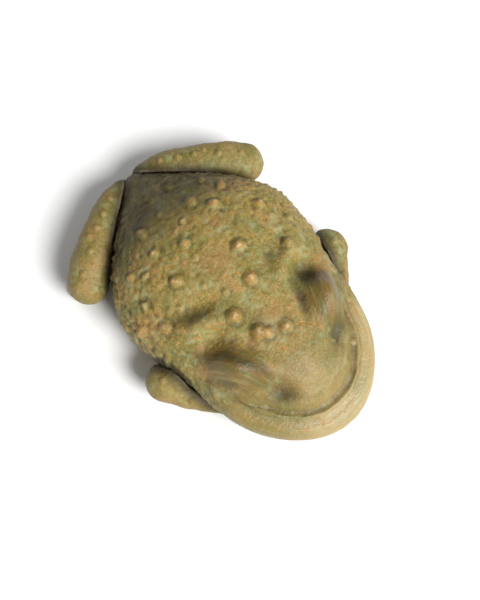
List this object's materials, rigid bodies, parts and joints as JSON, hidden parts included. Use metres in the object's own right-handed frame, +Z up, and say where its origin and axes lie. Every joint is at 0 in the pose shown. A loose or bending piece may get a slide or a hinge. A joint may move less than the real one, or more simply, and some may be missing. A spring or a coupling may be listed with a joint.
{
  "type": "toad figure",
  "caption": "Crouching warty toad figure with a bronze-green patina: hollow cast body, separately cast legs, screwed base plate and rubber pads.",
  "frame": {"origin": "middle of the figure's footprint, on the surface it rests on", "axes": "-Y the way the toad looks, +X the toad's left, +Z up"},
  "size_m": [0.1476, 0.2006, 0.0673],
  "materials": {
    "patina_body": "painted bronze-green patina, satin",
    "patina_limbs": "painted bronze-green patina, satin",
    "dowel_steel": "ground steel",
    "screw_steel": "zinc-plated steel",
    "base_board": "dark moulded sheet, fine grain",
    "pad_rubber": "matt rubber"
  },
  "bodies": {
    "root": {"body_shell": "patina_body", "hind_leg_left": "patina_limbs", "hind_leg_right": "patina_limbs", "front_leg_left": "patina_limbs", "front_leg_right": "patina_limbs", "hind_leg_left_dowels": "dowel_steel", "hind_leg_right_dowels": "dowel_steel", "front_leg_left_dowels": "dowel_steel", "front_leg_right_dowels": "dowel_steel", "base_plate": "base_board", "base_screws": "screw_steel", "pad_front_left": "pad_rubber", "pad_front_right": "pad_rubber", "pad_rear_left": "pad_rubber", "pad_rear_right": "pad_rubber"}
  },
  "joints": []
}
